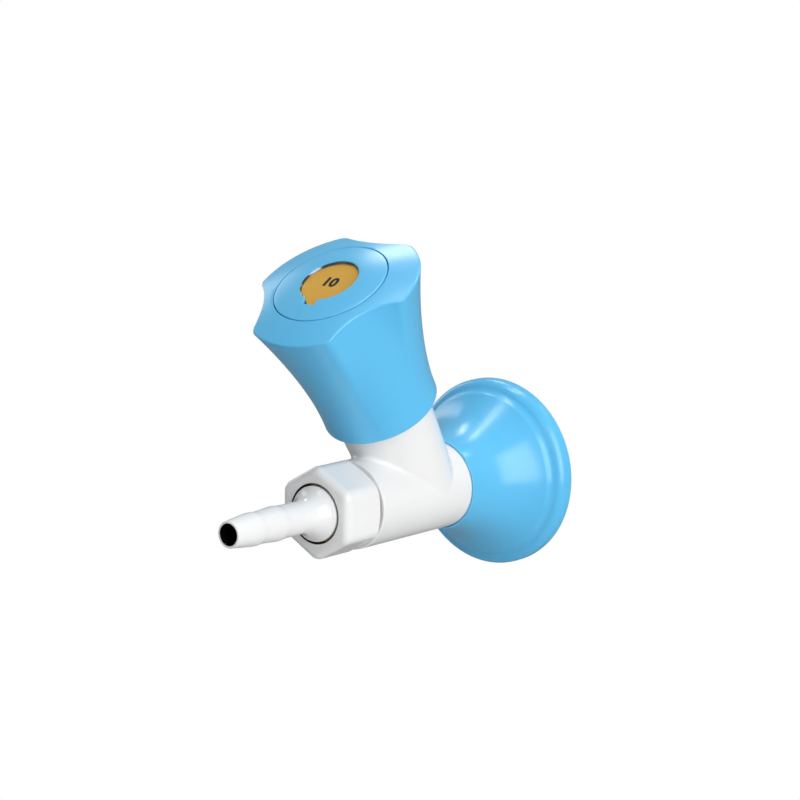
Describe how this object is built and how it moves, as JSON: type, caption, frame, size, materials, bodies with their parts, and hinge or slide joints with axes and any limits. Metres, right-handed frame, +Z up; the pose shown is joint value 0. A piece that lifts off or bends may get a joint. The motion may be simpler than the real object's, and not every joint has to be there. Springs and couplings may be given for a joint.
{
  "type": "compressed air tap",
  "caption": "Wall-mounted compressed air tap: straight body with a slanted lobed knob, trumpet-shaped wall flange, union nut and barbed hose nozzle.",
  "frame": {"origin": "on the outlet axis, in the wall plane, where the inlet thread leaves the wrench hexagon's gasket", "axes": "+Y into the wall along the inlet thread, -Y towards the hose nozzle, +Z up, +X to the right seen from the front"},
  "size_m": [0.054, 0.1309, 0.0987],
  "materials": {
    "coated_brass": "smooth glossy pale grey coating",
    "bare_brass": "turned",
    "stainless_steel": "turned",
    "blue_plastic": "satin moulded",
    "amber_plastic": "glossy moulded",
    "seal_rubber": "moulded",
    "seal_polymer": "machined"
  },
  "bodies": {
    "tap": {"valve_body": "coated_brass", "wall_flange": "blue_plastic", "inlet_gasket": "seal_rubber", "flange_o_ring": "seal_rubber", "seat_ring": "stainless_steel", "bonnet": "bare_brass", "bonnet_o_ring": "seal_rubber", "gland_nut": "bare_brass", "thrust_washer": "seal_polymer"},
    "knob": {"spindle": "bare_brass", "spindle_o_rings": "seal_rubber", "knob_shell": "blue_plastic", "knob_insert": "bare_brass", "knob_washer": "stainless_steel", "knob_screw": "stainless_steel", "cap_ring": "blue_plastic", "index_disc": "amber_plastic"},
    "plunger": {"plunger": "bare_brass", "seat_seal": "seal_polymer", "needle": "stainless_steel"},
    "nozzle": {"hose_nozzle": "coated_brass", "nozzle_o_ring": "seal_rubber"},
    "nut": {"union_nut": "coated_brass"}
  },
  "joints": [
    {"name": "knob_turn", "type": "hinge", "parent": "tap", "child": "knob", "pos_m": [0, -0.0382, 0], "axis": [0, -0.5225, 0.8526], "range_deg": [0, 1440]},
    {"name": "plunger_lift", "type": "slide", "parent": "tap", "child": "plunger", "axis": [0, -0.5225, 0.8526], "range_m": [0, 0.004]},
    {"name": "nozzle_release", "type": "slide", "parent": "tap", "child": "nozzle", "axis": [0, -1, 0], "range_m": [0, 0.011]},
    {"name": "nut_turn", "type": "hinge", "parent": "nozzle", "child": "nut", "pos_m": [0, 0, 0], "axis": [0, -1, 0], "range_deg": [0, 3960]}
  ],
  "couplings": [
    {"joint": "plunger_lift", "follows": "knob_turn", "m_per_rad": 0.00015915},
    {"joint": "nozzle_release", "follows": "nut_turn", "m_per_rad": 0.00015915}
  ]
}
